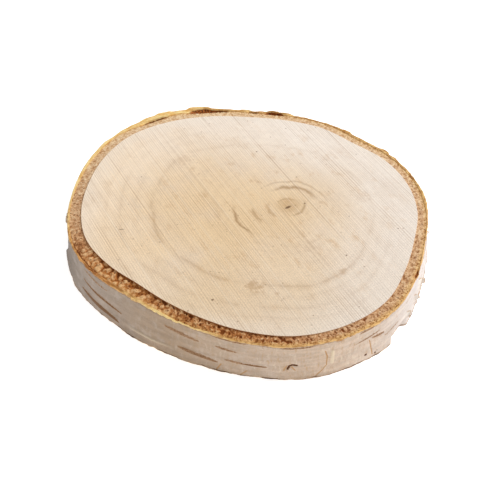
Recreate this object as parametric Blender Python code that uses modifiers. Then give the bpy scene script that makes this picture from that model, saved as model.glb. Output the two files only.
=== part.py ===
"""Birch wood slice: a disc sawn square across a thin trunk, with its bark on.

It grew as one piece, so it is one solid. Lengths are in millimetres until MM scales them.
The origin lies under the middle of the outline, on the surface that the slice rests on.
Angles are in degrees, anticlockwise from +X as seen from above.
"""

import math
import random

import bmesh
import bpy
from mathutils import Matrix, Vector, noise

MM = 0.001

# Driving dimensions of the slice
THICKNESS = 15.0
# Radius of the wood, every 15 degrees from +X
WOOD_RADII = (
    52.1, 52.3, 51.4, 49.4, 50.0, 49.5, 49.7, 51.8, 54.0, 55.3, 54.0, 52.1,
    50.9, 49.5, 46.6, 44.1, 44.5, 46.4, 49.6, 52.9, 54.4, 54.4, 52.2, 51.2,
)
# Width of the whole bark, every 30 degrees from +X
BARK_WIDTHS = (3.0, 3.1, 3.5, 4.3, 6.2, 4.6, 4.1, 4.9, 3.9, 3.4, 3.3, 3.7)
# How far the foot of the wall stands out past its top, every 30 degrees from +X
WALL_LEANS = (1.6, 0.6, 0.3, 0.1, -0.5, 0.7, 1.6, 1.4, 1.5, -0.2, -0.3, 0.5)
# How far the bark has shrunk below the sawn wood, every 45 degrees from +X, and the share of it
# that is a step right at the wood; the rest slopes down to the rim
BARK_SINKS = (0.35, 0.3, 0.35, 0.4, 0.6, 1.0, 0.8, 0.5)
STEP_SHARE = 0.45
# The underside's bark stays this far clear of the surface, twice as far at the foot
UNDERSIDE_CLEARANCE = 0.15
# From the centre of the radii to the middle of the outline's box, which becomes the origin
MIDDLE = (0.1, 1.0)

# The solid's rows: shares of the bark's width on the sawn faces, shares of the height on the wall
STEPS_AROUND = 144
FACE_SHARES = (0.06, 0.3, 0.54, 0.72, 0.79, 0.86)
UNDERSIDE_SHARES = (0.06, 0.45, 0.8)
WALL_SHARES = (0.94, 0.85, 0.74, 0.62, 0.5, 0.38, 0.26, 0.15, 0.06)

# Relief of the sawn bark: crumbs in the inner bark, clefts where the cork has come away from it
CRUMB_DEPTH = 0.22
CRUMB_SIZE = 1.9
CORK_SHARE = 0.79
CORK_LIP = 0.15
# Clefts: middle angle, half length in degrees, depth
CLEFTS = ((112, 9, 2.6), (88, 5, 2.0), (331, 3, 1.2), (18, 4, 0.9))
CLEFT_WIDTH = 0.07

# Relief of the wall; a layer keeps one noise from repeating another
SWELL_DEPTH = 0.45
SWELL_SIZE = 22.0
SWELL_LAYER = 3.0
WRINKLE_DEPTH = 0.12
WRINKLE_SIZE = 4.0
WRINKLE_LAYER = 9.0
# Torn notches of the foot and waves of the rim
RAG_DEPTH = 0.5
RAG_SIZE = 2.2
RAG_LAYER = 21.0
RAG_REACH = 0.12
LIP_WAVE = 0.18
LIP_LAYER = 33.0
LIP_REACH = 0.15
# A low bulge of the wall on the left
LEDGE_DEPTH = 0.9
LEDGE_HEIGHT = 4.4
LEDGE_HALF_HEIGHT = 5.5
LEDGE_ANGLE = 187.0
LEDGE_HALF_ANGLE = 14.0

# Lenticels, the corky breathing slits: angle, height, length along the wall, breadth
SEEN_LENTICELS = (
    (212, 12.4, 9.4, 0.5),
    (215, 7.3, 16.2, 0.8),
    (214, 3.3, 16.2, 1.3),
    (249, 10.6, 10.6, 0.9),
    (254, 4.7, 11.5, 1.2),
    (264, 10.4, 5.6, 0.8),
    (266, 5.6, 4.3, 0.8),
    (272, 5.4, 7.3, 0.7),
    (305, 10.9, 8.2, 0.6),
    (309, 9.3, 3.6, 1.0),
    (315, 7.7, 6.7, 0.5),
)
HIDDEN_LENTICELS = 16
HIDDEN_ARC = (-20.0, 190.0)
LENTICEL_PROUD = 0.3
LENTICEL_SUNK = 0.35

# Peels, the torn ends of the paper bark: angle and height of the root, length along the wall,
# breadth up the wall, lift of the free edge
PEELS = (
    (319, 3.6, 7.0, 4.6, 0.6),
    (332, 4.8, 7.5, 5.0, 0.7),
    (341, 9.4, 6.5, 4.0, 0.6),
    (352, 4.8, 7.0, 5.2, 0.5),
    (177, 11.6, 6.0, 2.6, 0.4),
    (288, 8.0, 5.0, 6.2, 0.3),
    (26, 7.4, 9.0, 6.0, 0.9),
    (60, 9.0, 7.0, 4.4, 0.8),
    (95, 6.4, 11.0, 6.5, 1.1),
    (138, 8.0, 8.0, 5.4, 0.8),
)
PEEL_THICKNESS = 0.62
PEEL_SUNK = 0.45
# How much narrower a peel is at its free edge, and how far that edge slants and drops
PEEL_TAPER = 0.55
PEEL_SLANT = 0.35
PEEL_DROP = 0.2

BIRCH_COLOUR = (0.78, 0.62, 0.44, 1.0)
BIRCH_ROUGHNESS = 0.8

SEED = 7


def around(values, angle):
    """A smooth closed curve through values listed at even steps from +X."""
    count = len(values)
    place = (angle % 360.0) / 360.0 * count
    index = int(place) % count
    share = place - int(place)
    before, start, end, after = (values[(index + k) % count] for k in (-1, 0, 1, 2))
    bend = 2 * before - 5 * start + 4 * end - after
    twist = 3 * (start - end) + after - before
    return start + 0.5 * share * (end - before + share * (bend + share * twist))


def swell(distance, half_width):
    """1 at no distance, falling smoothly to 0 at half_width."""
    share = min(abs(distance) / half_width, 1.0)
    return (1.0 - share * share) ** 2


def turn_between(angle, centre):
    """The signed turn from centre to angle, from -180 to 180 degrees."""
    return (angle - centre + 180.0) % 360.0 - 180.0


def rim_radius(angle):
    return around(WOOD_RADII, angle) + around(BARK_WIDTHS, angle)


def noise_at(angle, height, size, layer=0.0):
    """Smooth noise from about -1 to 1 on the trunk's surface, with features of the given size."""
    turn = math.radians(angle)
    radius = rim_radius(angle)
    place = Vector((radius * math.cos(turn), radius * math.sin(turn), height)) / size
    return noise.noise(place + Vector((0.0, 0.0, layer)))


def cleft_depth(angle):
    return sum(
        depth * swell(turn_between(angle, middle), half) for middle, half, depth in CLEFTS
    )


def face_height(share, angle):
    """Height of the sawn bark above the surface, share 0 at the wood and 1 at the rim."""
    step = min(share / FACE_SHARES[0], 1.0)
    sink = around(BARK_SINKS, angle) * (STEP_SHARE * step + (1.0 - STEP_SHARE) * share)
    crumbs = CRUMB_DEPTH * noise_at(angle, share * BARK_WIDTHS[0], CRUMB_SIZE) * step
    lip = CORK_LIP * min(max(share - CORK_SHARE, 0.0) / CLEFT_WIDTH, 1.0)
    cleft = cleft_depth(angle) * swell(share - CORK_SHARE, CLEFT_WIDTH)
    return min(THICKNESS - sink + crumbs + lip - cleft, THICKNESS)


def underside_height(share, angle):
    """Height of the bark's lower sawn face, just clear of the surface."""
    return UNDERSIDE_CLEARANCE * (min(share / UNDERSIDE_SHARES[0], 1.0) + share)


def wall_radius(angle, share):
    """Radius of the bark's outside, share 0 at its foot and 1 at its rim."""
    height = share * THICKNESS
    lean = around(WALL_LEANS, angle) * (1.0 - share)
    belly = math.sin(math.pi * share)
    waves = SWELL_DEPTH * noise_at(angle, height, SWELL_SIZE, SWELL_LAYER) * belly
    wrinkles = WRINKLE_DEPTH * noise_at(angle, height, WRINKLE_SIZE, WRINKLE_LAYER)
    rags = RAG_DEPTH * abs(noise_at(angle, 0.0, RAG_SIZE, RAG_LAYER)) * swell(share, RAG_REACH)
    lip = LIP_WAVE * noise_at(angle, 0.0, RAG_SIZE, LIP_LAYER) * swell(share - 1.0, LIP_REACH)
    ledge_turn = swell(turn_between(angle, LEDGE_ANGLE), LEDGE_HALF_ANGLE)
    ledge = LEDGE_DEPTH * ledge_turn * swell(height - LEDGE_HEIGHT, LEDGE_HALF_HEIGHT)
    return rim_radius(angle) + lean + waves + wrinkles - rags + lip + ledge


def on_wall(angle, height, out):
    """The point a distance out from the bark's outside."""
    turn = math.radians(angle)
    radius = (wall_radius(angle, height / THICKNESS) + out) * MM
    return Vector((radius * math.cos(turn), radius * math.sin(turn), height * MM))


def turned_blank(collection):
    """A plain turned disc whose rows are ready to be moved out to the slice's own shape."""
    wood = WOOD_RADII[0]
    bark = BARK_WIDTHS[0]
    profile = [(0.0, 1.0), (wood, 1.0)]
    profile += [(wood + share * bark, 1.0) for share in FACE_SHARES]
    profile += [(wood + bark, 1.0)]
    profile += [(wood + bark, share) for share in WALL_SHARES]
    profile += [(wood + bark, 0.0)]
    profile += [(wood + share * bark, 0.0) for share in reversed(UNDERSIDE_SHARES)]
    profile += [(wood, 0.0), (0.0, 0.0)]
    mesh = bpy.data.meshes.new("birch_slice")
    points = [(radius * MM, 0.0, share * THICKNESS * MM) for radius, share in profile]
    edges = [(index, index + 1) for index in range(len(points) - 1)]
    mesh.from_pydata(points, edges, [])
    blank = bpy.data.objects.new("birch_slice", mesh)
    collection.objects.link(blank)
    screw = blank.modifiers.new("turn", "SCREW")
    screw.steps = STEPS_AROUND
    screw.render_steps = STEPS_AROUND
    screw.use_merge_vertices = True
    screw.merge_threshold = 0.00001
    apply_modifiers(blank)
    return blank


def shape_blank(blank):
    """Moves the turned rows to the wood's outline, the bark's relief and the wall."""
    wood = WOOD_RADII[0]
    for vertex in blank.data.vertices:
        x, y, z = vertex.co / MM
        radius = math.hypot(x, y)
        if radius < 0.001:
            continue
        angle = math.degrees(math.atan2(y, x))
        across = (radius - wood) / BARK_WIDTHS[0]
        up = z / THICKNESS
        if across < 0.01:
            radius = around(WOOD_RADII, angle)
        elif across < 0.99:
            radius = around(WOOD_RADII, angle)
            radius += across * (wall_radius(angle, round(up)) - radius)
            z = face_height(across, angle) if up > 0.5 else underside_height(across, angle)
        else:
            radius = wall_radius(angle, up)
            foot = underside_height(1.0, angle)
            z = foot + up * (face_height(1.0, angle) - foot)
        turn = math.radians(angle)
        vertex.co = Vector((radius * math.cos(turn), radius * math.sin(turn), z)) * MM


def add_lenticel(collection, angle, height, length, breadth):
    """A low spindle that lies along the wall, its root sunk in the bark."""
    mesh = bpy.data.meshes.new("lenticel")
    shape = bmesh.new()
    bmesh.ops.create_uvsphere(shape, u_segments=6, v_segments=6, radius=1.0)
    depth = LENTICEL_PROUD + LENTICEL_SUNK
    for vertex in shape.verts:
        out, up, back = vertex.co
        turn = math.degrees(back * length / 2 / rim_radius(angle))
        rise = height + up * breadth / 2
        vertex.co = on_wall(angle - turn, rise, (out + 1) / 2 * depth - LENTICEL_SUNK)
    shape.to_mesh(mesh)
    shape.free()
    collection.objects.link(bpy.data.objects.new("lenticel", mesh))


def add_peel(collection, angle, height, length, tall, lift):
    """A torn flap of paper bark: rooted along one upright edge, its free edge curled outwards."""
    mesh = bpy.data.meshes.new("peel")
    shape = bmesh.new()
    bmesh.ops.create_grid(shape, x_segments=5, y_segments=2, size=0.5)
    for vertex in shape.verts:
        along, up, _ = vertex.co + Vector((0.5, 0.0, 0.0))
        rise = tall * (up * (1.0 - PEEL_TAPER * along) - PEEL_DROP * along)
        out = (lift + PEEL_SUNK) * along**1.5 - PEEL_SUNK
        reach = along * length * (1.0 - PEEL_SLANT * (up + 0.5))
        turn = math.degrees(reach / rim_radius(angle))
        vertex.co = on_wall(angle + turn, height + rise, out)
    shape.to_mesh(mesh)
    shape.free()
    peel = bpy.data.objects.new("peel", mesh)
    collection.objects.link(peel)
    thicken = peel.modifiers.new("thickness", "SOLIDIFY")
    thicken.thickness = PEEL_THICKNESS * MM
    thicken.offset = 0.0
    apply_modifiers(peel)


def add_growths(collection):
    """Every lenticel and peel of the bark, in a collection of their own."""
    draw = random.Random(SEED)
    for angle, height, length, breadth in SEEN_LENTICELS:
        add_lenticel(collection, angle, height, length, breadth)
    step = (HIDDEN_ARC[1] - HIDDEN_ARC[0]) / HIDDEN_LENTICELS
    for index in range(HIDDEN_LENTICELS):
        angle = HIDDEN_ARC[0] + (index + draw.uniform(0.2, 0.8)) * step
        height = 2.6 + (index * 3.7) % 10.0 + draw.uniform(-0.4, 0.4)
        add_lenticel(collection, angle, height, draw.uniform(4.0, 11.0), draw.uniform(0.6, 1.1))
    for angle, height, length, tall, lift in PEELS:
        add_peel(collection, angle, height, length, tall, lift)


def apply_modifiers(item):
    """Replaces an object's mesh with the evaluated one."""
    graph = bpy.context.evaluated_depsgraph_get()
    done = bpy.data.meshes.new_from_object(item.evaluated_get(graph))
    item.modifiers.clear()
    item.data = done


def fuse(body, growths):
    """Joins every object of the growths' collection to the body in one union."""
    union = body.modifiers.new("growths", "BOOLEAN")
    union.operation = "UNION"
    union.operand_type = "COLLECTION"
    union.collection = growths
    union.solver = "MANIFOLD"
    apply_modifiers(body)
    for item in list(growths.objects):
        bpy.data.objects.remove(item)
    bpy.data.collections.remove(growths)


def birch_material():
    material = bpy.data.materials.new("birch")
    material.use_nodes = True
    shader = material.node_tree.nodes["Principled BSDF"]
    shader.inputs["Base Color"].default_value = BIRCH_COLOUR
    shader.inputs["Roughness"].default_value = BIRCH_ROUGHNESS
    return material


def new_collection(name):
    collection = bpy.data.collections.new(name)
    bpy.context.scene.collection.children.link(collection)
    return collection


def build():
    for item in list(bpy.data.objects):
        bpy.data.objects.remove(item)
    body = turned_blank(new_collection("birch_wood_slice"))
    shape_blank(body)
    growths = new_collection("growths")
    add_growths(growths)
    fuse(body, growths)
    body.data.transform(Matrix.Translation((-MIDDLE[0] * MM, -MIDDLE[1] * MM, 0.0)))
    body.data.materials.clear()
    body.data.materials.append(birch_material())


build()
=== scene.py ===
"""The looks of the birch slice: its sawn wood, crumbly inner bark, paper bark and peels.

Finer meshes stand in for the plain solid and keep its outline, heights and thickness.
Shapes are worked out in millimetres from the middle of the growth. MIDDLE is the point there that
lies at the frame's origin, and MM makes metres. Angles are in degrees, anticlockwise from +X.
"""

import math
import random
from functools import cached_property

import bpy
import numpy as np
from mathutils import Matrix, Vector


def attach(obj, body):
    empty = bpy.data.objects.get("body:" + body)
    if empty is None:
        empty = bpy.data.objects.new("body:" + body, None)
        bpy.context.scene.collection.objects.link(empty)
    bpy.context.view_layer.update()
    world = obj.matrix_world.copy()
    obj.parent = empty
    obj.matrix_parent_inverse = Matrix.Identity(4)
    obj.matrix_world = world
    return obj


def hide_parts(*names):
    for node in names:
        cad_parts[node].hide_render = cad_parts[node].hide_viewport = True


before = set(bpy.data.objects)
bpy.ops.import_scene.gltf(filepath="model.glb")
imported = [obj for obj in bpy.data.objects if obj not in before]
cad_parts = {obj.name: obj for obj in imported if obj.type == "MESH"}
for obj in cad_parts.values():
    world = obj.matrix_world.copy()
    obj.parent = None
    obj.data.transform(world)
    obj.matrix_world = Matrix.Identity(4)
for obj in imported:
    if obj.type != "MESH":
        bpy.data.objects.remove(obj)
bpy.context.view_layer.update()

MM = 0.001
# One degree in radians
DEGREE = math.radians(1.0)
# Faces that meet at more than this many degrees are shaded with an edge
SHARP_ANGLE = 50.0

# The slice, with the same driving dimensions as the solid
THICKNESS = 15.0
MIDDLE = (0.1, 1.0)
WOOD_RADII = (
    52.1, 52.3, 51.4, 49.4, 50.0, 49.5, 49.7, 51.8, 54.0, 55.3, 54.0, 52.1,
    50.9, 49.5, 46.6, 44.1, 44.5, 46.4, 49.6, 52.9, 54.4, 54.4, 52.2, 51.2,
)
BARK_WIDTHS = (3.0, 3.1, 3.5, 4.3, 6.2, 4.6, 4.1, 4.9, 3.9, 3.4, 3.3, 3.7)
WALL_LEANS = (1.6, 0.6, 0.3, 0.1, -0.5, 0.7, 1.6, 1.4, 1.5, -0.2, -0.3, 0.5)
BARK_SINKS = (0.35, 0.3, 0.35, 0.4, 0.6, 1.0, 0.8, 0.5)
# Share of the bark's sink that lies in the step at the wood
STEP_SHARE = 0.45
UNDERSIDE_CLEARANCE = 0.15
# A bulge low on the wall: angle, half angle, height, half height, depth
LEDGE = (187.0, 14.0, 4.4, 5.5, 0.65)
# Its upper edge climbs a millimetre a degree from this angle
LEDGE_START = 181.5

# Width of the cork line, every 30 degrees from +X
CORK_WIDTHS = (0.32, 0.32, 0.5, 1.0, 2.2, 1.1, 0.5, 0.8, 0.55, 0.32, 0.28, 0.3)
# Where the cork is thickest: angle, half angle, how much wider it is
CORK_SWELL = (127.0, 13.0, 0.9)
# Clefts between inner bark and cork: middle angle, half length in degrees, depth, breadth
CLEFTS = (
    (106.0, 7.5, 1.5, 1.4),
    (100.0, 4.5, 1.3, 0.9),
    (123.5, 6.0, 2.4, 0.7),
    (88.0, 2.5, 1.6, 0.8),
    (80.0, 5.0, 2.0, 0.9),
    (331.0, 3.0, 1.2, 0.8),
    (18.0, 4.0, 0.5, 0.6),
    (203.0, 17.0, 0.8, 0.45),
    (250.0, 9.0, 0.7, 0.4),
)

# The saw ran across both faces at this angle
SAW_ANGLE = 118.0
ALONG_SAW = (math.cos(math.radians(SAW_ANGLE)), math.sin(math.radians(SAW_ANGLE)))
ACROSS_SAW = (ALONG_SAW[1], -ALONG_SAW[0])
PITH = (12.7, 2.5)

# Numbers that scatter the lattice points of the noise
HASH_STEPS = (73856093, 19349663, 83492791, 26544357)
LOW_BITS = 0xFFFFFFFF


def around(values, angle):
    """A smooth closed curve through values listed at even steps from +X."""
    listed = np.array(values, float)
    count = len(listed)
    place = (np.asarray(angle, float) % 360.0) / 360.0 * count
    index = np.floor(place).astype(int)
    share = place - index
    before, start, end, after = (listed[(index + k) % count] for k in (-1, 0, 1, 2))
    bend = 2 * before - 5 * start + 4 * end - after
    twist = 3 * (start - end) + after - before
    return start + 0.5 * share * (end - before + share * (bend + share * twist))


def swell(distance, half_width):
    """1 at no distance, falling smoothly to 0 at half_width."""
    share = np.minimum(np.abs(distance) / half_width, 1.0)
    return (1.0 - share * share) ** 2


def ease(value, low, high):
    """0 below low, 1 above high, smooth between them."""
    share = np.clip((value - low) / (high - low), 0.0, 1.0)
    return share * share * (3.0 - 2.0 * share)


def turn_between(angle, centre):
    """The turn from centre to angle, from -180 to 180 degrees."""
    return (angle - centre + 180.0) % 360.0 - 180.0


def about(angle, middle, half):
    """1 at the middle angle, falling smoothly to 0 at half on either side of it."""
    return swell(turn_between(angle, middle), half)


def hashed(x, y, z, seed):
    """A repeatable number from 0 to 1 for each lattice point."""
    mixed = 0
    for value, step in zip((x, y, z, seed), HASH_STEPS):
        mixed = mixed ^ (value * step)
    for _ in range(2):
        mixed = mixed & LOW_BITS
        mixed = (mixed ^ (mixed >> 16)) * 0x45D9F3B
    mixed = mixed & LOW_BITS
    return (mixed ^ (mixed >> 16)) / LOW_BITS


def smooth_noise(x, y, z, seed):
    """Noise from -1 to 1 with features one unit apart."""
    places = np.broadcast_arrays(x, y, z)
    cells = [np.floor(place).astype(np.int64) for place in places]
    shares = [place - cell for place, cell in zip(places, cells)]
    shares = [share * share * (3.0 - 2.0 * share) for share in shares]
    total = np.zeros(places[0].shape)
    for corner in range(8):
        steps = (corner & 1, corner >> 1 & 1, corner >> 2)
        weight = 1.0
        for share, step in zip(shares, steps):
            weight = weight * (share if step else 1.0 - share)
        total += weight * hashed(*(cell + step for cell, step in zip(cells, steps)), seed)
    return 2.0 * total - 1.0


def rough_noise(x, y, z, seed, octaves=3):
    """Noise with finer noise laid on it."""
    total = 0.0
    for octave in range(octaves):
        fine = 2.0**octave
        total = total + smooth_noise(x * fine, y * fine, z * fine, seed + octave) / fine
    return total / (2.0 - 2.0 ** (1 - octaves))


def grain_cells(x, y, seed):
    """Grains one unit apart: distance to the nearest two middles and the nearest one's number."""
    cell_x = np.floor(x).astype(np.int64)
    cell_y = np.floor(y).astype(np.int64)
    nearest = np.full(x.shape, 9.0)
    second = np.full(x.shape, 9.0)
    number = np.zeros(x.shape)
    for step_x in (-1, 0, 1):
        for step_y in (-1, 0, 1):
            at_x = cell_x + step_x
            at_y = cell_y + step_y
            away_x = at_x + hashed(at_x, at_y, 1, seed) - x
            away_y = at_y + hashed(at_x, at_y, 2, seed) - y
            away = np.hypot(away_x, away_y)
            closer = away < nearest
            second = np.where(closer, nearest, np.minimum(second, away))
            number = np.where(closer, hashed(at_x, at_y, 3, seed), number)
            nearest = np.minimum(nearest, away)
    return nearest, second, number


def wood_radius(angle):
    return around(WOOD_RADII, angle)


def rim_radius(angle):
    """Radius of the bark's upper outer edge."""
    return wood_radius(angle) + around(BARK_WIDTHS, angle)


def flat_place(angle, radius):
    """x and y of points at an angle and a radius."""
    turn = np.radians(angle)
    return radius * np.cos(turn), radius * np.sin(turn)


def rim_place(angle):
    """x and y of the rim, for noise along the bark that has no seam."""
    return flat_place(angle, rim_radius(angle))


def points(angle, radius, height):
    """Points in metres in the frame from angles, radii and heights."""
    x, y, height = np.broadcast_arrays(*flat_place(angle, radius), height)
    return np.stack((x - MIDDLE[0], y - MIDDLE[1], height), -1) * MM


def new_piece(name, places, faces, numbers, material):
    """A mesh object with smooth faces and one number a vertex for each name in numbers."""
    mesh = bpy.data.meshes.new(name)
    mesh.from_pydata(places, [], faces.tolist())
    for key, values in numbers.items():
        layer = mesh.attributes.new(key, "FLOAT", "POINT")
        layer.data.foreach_set("value", np.asarray(values, np.float32).ravel())
    mesh.shade_smooth()
    mesh.set_sharp_from_angle(angle=math.radians(SHARP_ANGLE))
    mesh.materials.append(material)
    piece = bpy.data.objects.new(name, mesh)
    bpy.context.scene.collection.objects.link(piece)
    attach(piece, "root")
    return piece


def ring_faces(rows, columns):
    """Quads of a closed tube: rows of its section by columns round the slice, faces outwards."""
    row = np.arange(rows)[:, None]
    column = np.arange(columns)[None, :]
    next_row = (row + 1) % rows
    next_column = (column + 1) % columns
    corners = (
        row * columns + column,
        next_row * columns + column,
        next_row * columns + next_column,
        row * columns + next_column,
    )
    return np.stack(np.broadcast_arrays(*corners), -1).reshape(-1, 4)


def sheet_faces(rows, columns):
    """Quads of a closed sheet: rows by columns of points in front, as many behind, and its rim."""
    count = rows * columns
    index = np.arange(count).reshape(rows, columns)
    front = np.stack((index[:-1, :-1], index[1:, :-1], index[1:, 1:], index[:-1, 1:]), -1)
    front = front.reshape(-1, 4)
    loop = np.concatenate((index[:-1, 0], index[-1, :-1], index[:0:-1, -1], index[0, :0:-1]))
    following = np.roll(loop, -1)
    rim = np.stack((loop, loop + count, following + count, following), -1)
    return np.concatenate((front, front[:, ::-1] + count, rim))


# Sawn wood

SAW_ROWS = 640
SAW_COLUMNS = 56
SAW_RELIEF = 0.008
SAW_PITCH = 0.9
# How far the rows' sweep, a quarter turn either way, stops short of the wood's edge, in radians
SWEEP_MARGIN = 0.012
# The growth rings bulge out on one side: direction from the pith, half angle, amount
RING_BULGE = (222.0, 40.0, 0.08)


def saw_marks(across, along, seed):
    """Grooves of the saw: straight, a pitch apart, fading in and out along their length."""
    tooth = across / SAW_PITCH + 0.4 * smooth_noise(across / 6.0, 0.5, 0.5, seed)
    fade = 0.5 + 0.5 * smooth_noise(np.floor(tooth) * 7.3, along / 14.0, 0.5, seed + 2)
    return np.sin(2 * math.pi * tooth) * fade


def ring_share(x, y):
    """0 at the pith, 1 at the wood's edge on the same ray, and a little less where rings bulge."""
    east = x - PITH[0]
    north = y - PITH[1]
    towards = np.arctan2(north, east)
    direction, half, amount = RING_BULGE
    bulge = 1.0 - amount * about(np.degrees(towards), direction, half)
    angle = np.arange(0.0, 360.0, 0.25)
    edge_x, edge_y = flat_place(angle, wood_radius(angle))
    edge_east = edge_x - PITH[0]
    edge_north = edge_y - PITH[1]
    edge_turn = np.arctan2(edge_north, edge_east)
    reach = np.interp(towards, edge_turn, np.hypot(edge_east, edge_north), period=2 * math.pi)
    return np.hypot(east, north) / reach * bulge


def wood_piece(material):
    """Rows of points that follow the saw, on both faces, joined round the edge."""
    angle = np.arange(0.0, 360.0, 0.05)
    edge_x, edge_y = flat_place(angle, wood_radius(angle))
    edge_across = edge_x * ACROSS_SAW[0] + edge_y * ACROSS_SAW[1]
    edge_along = edge_x * ALONG_SAW[0] + edge_y * ALONG_SAW[1]
    low, high = edge_across.min(), edge_across.max()
    sweep = np.linspace(-1.0, 1.0, SAW_ROWS) * (math.pi / 2 - SWEEP_MARGIN)
    across = (low + high) / 2 + (high - low) / 2 * np.sin(sweep)
    split = np.argmin(edge_across)
    edge_across = np.roll(edge_across, -split)
    edge_along = np.roll(edge_along, -split)
    peak = np.argmax(edge_across)
    first = (edge_across[: peak + 1], edge_along[: peak + 1])
    second = (edge_across[peak:][::-1], edge_along[peak:][::-1])
    ends = []
    for branch_across, branch_along in (first, second):
        order = np.argsort(branch_across)
        ends.append(np.interp(across, branch_across[order], branch_along[order]))
    ends.sort(key=lambda end: end.mean())
    share = np.linspace(0.0, 1.0, SAW_COLUMNS)[None, :]
    along = ends[0][:, None] * (1.0 - share) + ends[1][:, None] * share
    across = np.broadcast_to(across[:, None], along.shape)
    x = across * ACROSS_SAW[0] + along * ALONG_SAW[0]
    y = across * ACROSS_SAW[1] + along * ALONG_SAW[1]
    upper_saw = saw_marks(across, along, 5)
    lower_saw = saw_marks(across, along, 15)
    upper = np.stack((x - MIDDLE[0], y - MIDDLE[1], THICKNESS + SAW_RELIEF * (upper_saw - 1.0)), -1)
    lower = np.stack((x - MIDDLE[0], y - MIDDLE[1], SAW_RELIEF * (1.0 + lower_saw)), -1)
    places = np.concatenate((upper.reshape(-1, 3), lower.reshape(-1, 3))) * MM
    numbers = {
        "ring": np.tile(ring_share(x, y).ravel(), 2),
        "saw": np.concatenate((upper_saw.ravel(), lower_saw.ravel())),
    }
    faces = sheet_faces(SAW_ROWS, SAW_COLUMNS)
    return new_piece("sawn_wood", places, faces, numbers, material)


# Inner bark

INNER_COLUMNS = 1700
INNER_ROWS_ON_TOP = 24
INNER_ROWS_BELOW = 9
# How far the ring reaches into the wood and into the cork
WOOD_OVERLAP = 0.2
CORK_OVERLAP = 0.25
# At the lower face the ring ends this far inside the cork's line, clear of the wall's foot, whose
# radius is read at this height
FOOT_MARGIN = 1.3
FOOT_HEIGHT = 0.3
# How toasted brown the tissue is, how coarse its crumbs are, how deep its crevice along the wood
# is and how dark it is painted, partly the tissue's brown and partly painted shade, every 30
# degrees from +X
TOASTED = (0.25, 0.1, 0.05, 0.0, 0.0, 0.1, 0.4, 1.0, 0.92, 0.9, 0.5, 0.38)
COARSENESS = (0.1, 0.0, 0.0, 0.0, 0.0, 0.1, 0.3, 1.0, 0.8, 0.2, 0.1, 0.1)
CREVICES = (0.2, 0.1, 0.1, 0.1, 0.1, 0.1, 0.15, 0.45, 0.75, 1.0, 0.6, 0.4)
# How golden the tissue's outer part is, every 30 degrees from +X
GILDING = (0.6, 0.7, 0.7, 0.6, 0.6, 0.3, 0.1, 0.15, 0.4, 0.6, 0.8, 0.7)
# Fine crumbs and coarse lumps: how far apart they are and how wavy their edges are
CRUMBS = (0.65, 0.9)
LUMPS = (1.6, 0.55)
# Pits between the crumbs: how far apart they are along the ring and across it, how deep they are
PIT_SPACING = (0.65, 1.0)
PIT_DEPTH = 0.25
PIT_RING_RADIUS = 50.0
# Darkness of the seam along the wood, a painted shadow where the wood's edge shades the sunken bark
SEAM_SHADOW = 0.5
# The tissue stays this far below the wood's upper face
TISSUE_CLEARANCE = 0.04


def cork_width(angle):
    middle, half, more = CORK_SWELL
    return around(CORK_WIDTHS, angle) + more * about(angle, middle, half)


def cleft_depth(angle, away):
    """Depth of the ragged clefts at a distance from the cork's inner side."""
    away = away + 0.35 * rough_noise(angle * 0.9, away / 0.6, 0.5, 77)
    return sum(
        depth * about(angle, middle, half) * swell(away, breadth)
        for middle, half, depth, breadth in CLEFTS
    )


def bark_sink(angle, share):
    """How far the sawn bark lies below the wood, share 0 at the wood and 1 at the rim."""
    return around(BARK_SINKS, angle) * (STEP_SHARE + (1.0 - STEP_SHARE) * share)


def grains(x, y, size, bend, seed):
    """Grains of one size with wavy edges: the nearest two distances and the nearest one's number."""
    shift = bend * rough_noise(x / size * 0.8, y / size * 0.8, 0.5, seed, 2)
    lean = bend * rough_noise(x / size * 0.8, y / size * 0.8, 7.5, seed, 2)
    return grain_cells(x / size + shift, y / size + lean, seed + 1)


def crumbs(x, y, coarseness, seed):
    """Height of the crumbly tissue, from about -1 in its crevices to 1 on its grains."""
    nearest, second, number = grains(x, y, *CRUMBS, seed)
    fine = ease(second - nearest, -0.25, 0.6) * (0.1 + 0.9 * number)
    nearest, second, number = grains(x, y, *LUMPS, seed + 3)
    lumps = np.maximum(1.0 - 1.8 * nearest**2, 0.0) * (0.4 + 0.6 * number)
    found = 1.6 * (fine * (1.0 - coarseness) + 1.25 * lumps * coarseness) - 0.6
    return found + (0.65 - 0.3 * coarseness) * rough_noise(x / 0.6, y / 0.6, 0.5, seed + 7)


def pits(angle, radius, seed):
    """1 in the pits of the sawn tissue, which are longer across the ring than along it."""
    along = DEGREE * PIT_RING_RADIUS * angle / PIT_SPACING[0]
    rows = radius / PIT_SPACING[1]
    found = smooth_noise(along, rows, 0.5, seed)
    found = found + 0.5 * smooth_noise(2.1 * along, 2.0 * rows, 0.5, seed + 1)
    return ease(found, 0.0, 0.7)


def foot_of_cork(angle):
    """Radius of the cork's inner side at the lower face."""
    return wall_radius(angle, FOOT_HEIGHT) - cork_width(angle) - FOOT_MARGIN


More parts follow.
